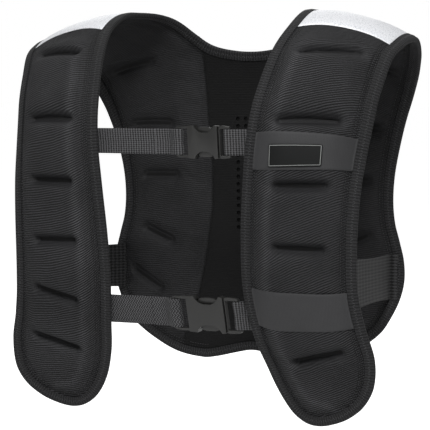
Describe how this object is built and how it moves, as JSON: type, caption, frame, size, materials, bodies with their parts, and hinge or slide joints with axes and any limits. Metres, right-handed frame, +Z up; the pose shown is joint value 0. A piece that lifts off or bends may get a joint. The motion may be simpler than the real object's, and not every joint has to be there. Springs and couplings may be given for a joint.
{
  "type": "weighted vest",
  "caption": "Padded weighted running vest with bound edges, two buckled chest straps, side straps and reflective shoulder strips.",
  "frame": {"origin": "middle of the vest between the shoulders, at the height where it sits on them", "axes": "+X towards the wearer's left, -Y out of the front, +Z up"},
  "size_m": [0.4246, 0.2585, 0.4195],
  "materials": {
    "panel_fabric": "matt stretch knit over padding",
    "binding_tape": "matt folded tape",
    "reflective_strip": "satin silver reflective cloth",
    "elastic_band": "smooth knitted elastic",
    "label_rubber": "satin moulded rubber",
    "webbing": "ribbed woven webbing",
    "buckle_plastic": "satin moulded plastic"
  },
  "bodies": {
    "root": {"front_panel_left": "panel_fabric", "front_panel_right": "panel_fabric", "back_pad_left": "panel_fabric", "back_pad_right": "panel_fabric", "back_centre": "panel_fabric", "edge_binding": "binding_tape", "reflective_strip_left": "reflective_strip", "reflective_strip_right": "reflective_strip", "elastic_band_upper": "elastic_band", "elastic_band_lower": "elastic_band", "label_patch": "label_rubber", "chest_webbing_upper_right": "webbing", "chest_webbing_upper_left": "webbing", "chest_webbing_lower_right": "webbing", "chest_webbing_lower_left": "webbing", "buckle_socket_upper": "buckle_plastic", "buckle_plug_upper": "buckle_plastic", "buckle_socket_lower": "buckle_plastic", "buckle_plug_lower": "buckle_plastic", "side_strap_left": "webbing", "side_strap_right": "webbing"}
  },
  "joints": []
}
